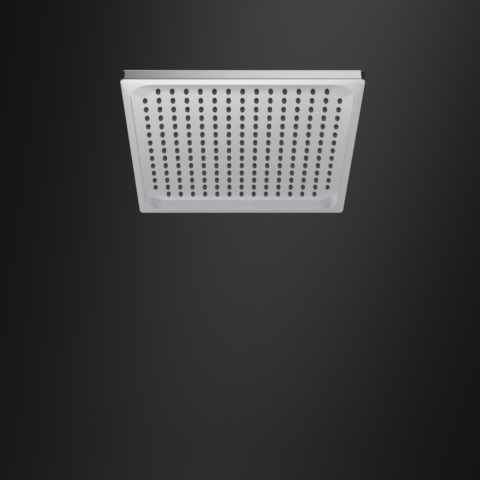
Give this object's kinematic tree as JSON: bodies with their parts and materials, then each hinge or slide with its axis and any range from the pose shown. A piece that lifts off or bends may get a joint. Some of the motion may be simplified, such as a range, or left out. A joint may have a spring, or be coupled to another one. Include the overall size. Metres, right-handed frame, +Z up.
{
  "type": "rain shower head",
  "caption": "Square overhead rain shower head: chromed shell and recessed nozzle plate with a dark silicone nozzle mat, hung on a ball joint with a half-inch union nut.",
  "frame": {"origin": "centre of the inlet thread's mouth, at the top of the union nut", "axes": "+Z up along the inlet thread, out of its mouth; the spray face looks along -Z; +X along the nozzle rows of fifteen"},
  "size_m": [0.25, 0.25, 0.0665],
  "materials": {
    "chromed_abs": "bright chrome on moulded plastic",
    "chromed_brass": "bright chrome on turned brass",
    "nozzle_silicone": "matt dark grey silicone",
    "black_abs": "moulded, matt",
    "black_rubber": "moulded, matt",
    "white_acetal": "turned, satin",
    "spring_steel": "plain stainless steel"
  },
  "bodies": {
    "union_nut": {"union_nut": "chromed_brass"},
    "ball_stud": {"ball_stud": "chromed_brass", "retaining_ring": "spring_steel", "sealing_washer": "black_rubber", "filter_screen": "spring_steel", "flow_regulator": "white_acetal", "regulator_seal": "black_rubber"},
    "ball_seat": {"bearing_ring": "white_acetal", "ball_seal": "black_rubber"},
    "head": {"collar_nut": "chromed_brass", "inlet_socket": "chromed_brass", "flange_washer": "white_acetal", "spigot_seal": "black_rubber", "top_cover": "chromed_abs", "chamber_plate": "black_abs", "chamber_screws": "spring_steel", "nozzle_mat": "nozzle_silicone", "spray_plate": "chromed_abs"}
  },
  "joints": [
    {"name": "nut_swivel", "type": "hinge", "parent": "union_nut", "child": "ball_stud", "pos_m": [0, 0, -0.014], "axis": [0, 0, 1], "continuous": true},
    {"name": "ball_tilt", "type": "hinge", "parent": "ball_stud", "child": "ball_seat", "pos_m": [0, 0, -0.02857], "axis": [1, 0, 0], "range_deg": [-15, 15]},
    {"name": "head_turn", "type": "hinge", "parent": "ball_seat", "child": "head", "pos_m": [0, 0, -0.02857], "axis": [0, 0, 1], "continuous": true}
  ]
}
